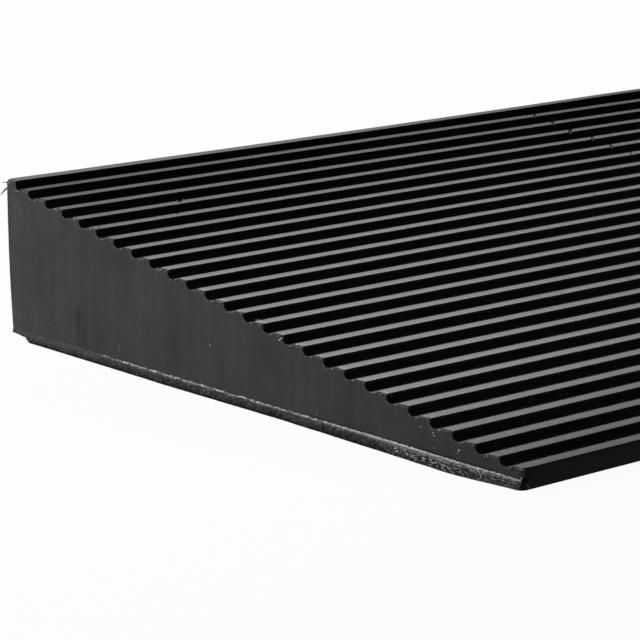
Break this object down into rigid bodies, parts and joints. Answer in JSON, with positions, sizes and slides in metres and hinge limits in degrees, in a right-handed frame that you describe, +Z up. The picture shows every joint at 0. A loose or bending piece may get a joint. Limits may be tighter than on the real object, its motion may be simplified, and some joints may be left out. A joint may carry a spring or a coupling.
{
  "type": "threshold ramp",
  "caption": "Solid rubber wedge ramp for a door threshold: ribbed tread over a tapering core on a thin base sheet, low front edge, upright back face.",
  "frame": {"origin": "on the floor, under the middle of the ramp", "axes": "+X along the doorway, +Y from the low front face to the high back face, +Z up"},
  "size_m": [0.9, 0.2, 0.044],
  "materials": {
    "core_rubber": "matt dark grey solid rubber, cut ends and moulded back face",
    "tread_rubber": "black moulded rubber with a satin sheen on the rib tops",
    "base_rubber": "rough dark grey sheet rubber with a hand trimmed, dusty edge"
  },
  "bodies": {
    "root": {"wedge_core": "core_rubber", "ribbed_tread": "tread_rubber", "base_sheet": "base_rubber"}
  },
  "joints": []
}
